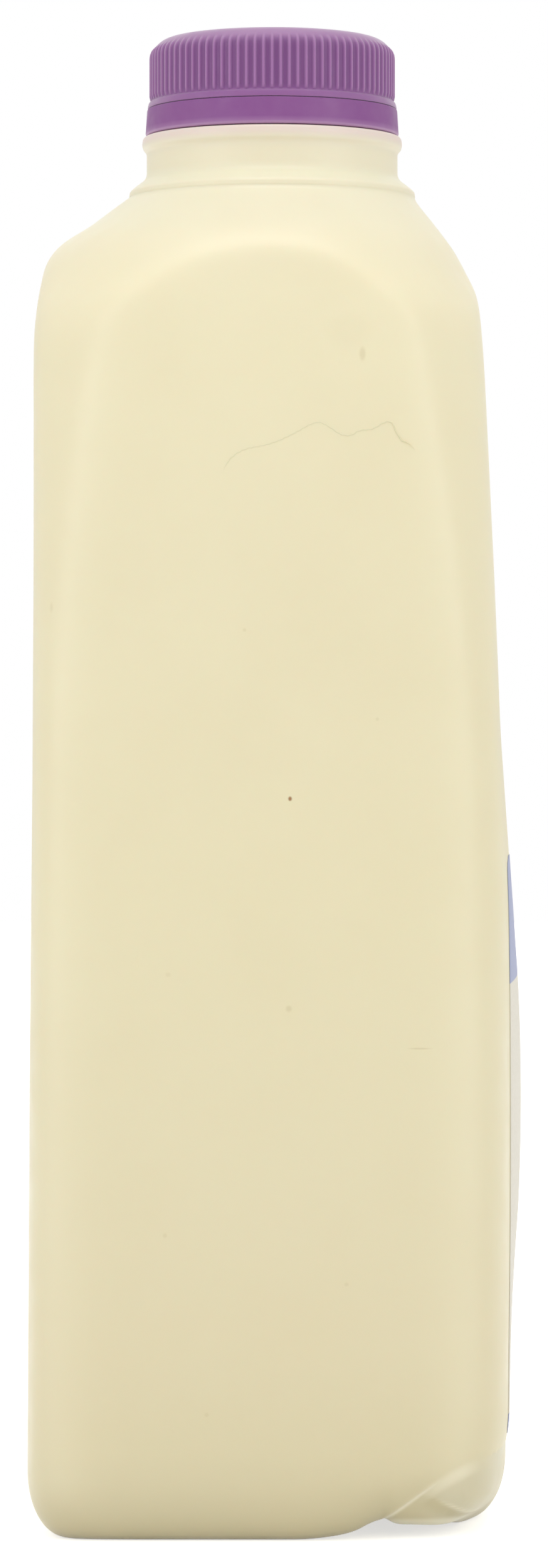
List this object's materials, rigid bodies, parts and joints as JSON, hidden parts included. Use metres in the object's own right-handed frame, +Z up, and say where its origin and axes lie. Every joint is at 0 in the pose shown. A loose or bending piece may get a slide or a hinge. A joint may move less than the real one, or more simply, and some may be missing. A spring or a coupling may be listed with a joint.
{
  "type": "plastic milk bottle",
  "caption": "Square blow-moulded milk bottle, full, with a round shoulder, a ribbed screw cap, a tamper band and a side label.",
  "frame": {"origin": "on the surface that the bottle stands on, under the neck's axis", "axes": "+Z up along the neck, +X towards the side with the label, -Y towards the plain front"},
  "size_m": [0.0792, 0.0772, 0.239],
  "materials": {
    "milky_plastic": "milky, softly glossy",
    "purple_plastic": "satin",
    "liner_foam": "matt",
    "label_paper": "matt",
    "milk": "wet, opaque"
  },
  "bodies": {
    "bottle": {"bottle": "milky_plastic", "side_label": "label_paper", "milk": "milk"},
    "band": {"tamper_band": "purple_plastic"},
    "cap": {"screw_cap": "purple_plastic", "cap_liner": "liner_foam"}
  },
  "joints": [
    {"name": "cap_turn", "type": "hinge", "parent": "bottle", "child": "band", "pos_m": [0, 0, 0.2255], "axis": [0, 0, 1], "range_deg": [0, 1440]},
    {"name": "cap_lift", "type": "slide", "parent": "band", "child": "cap", "axis": [0, 0, 1], "range_m": [0, 0.0481]}
  ],
  "couplings": [
    {"joint": "cap_lift", "follows": "cap_turn", "m_per_rad": 0.0019099}
  ]
}
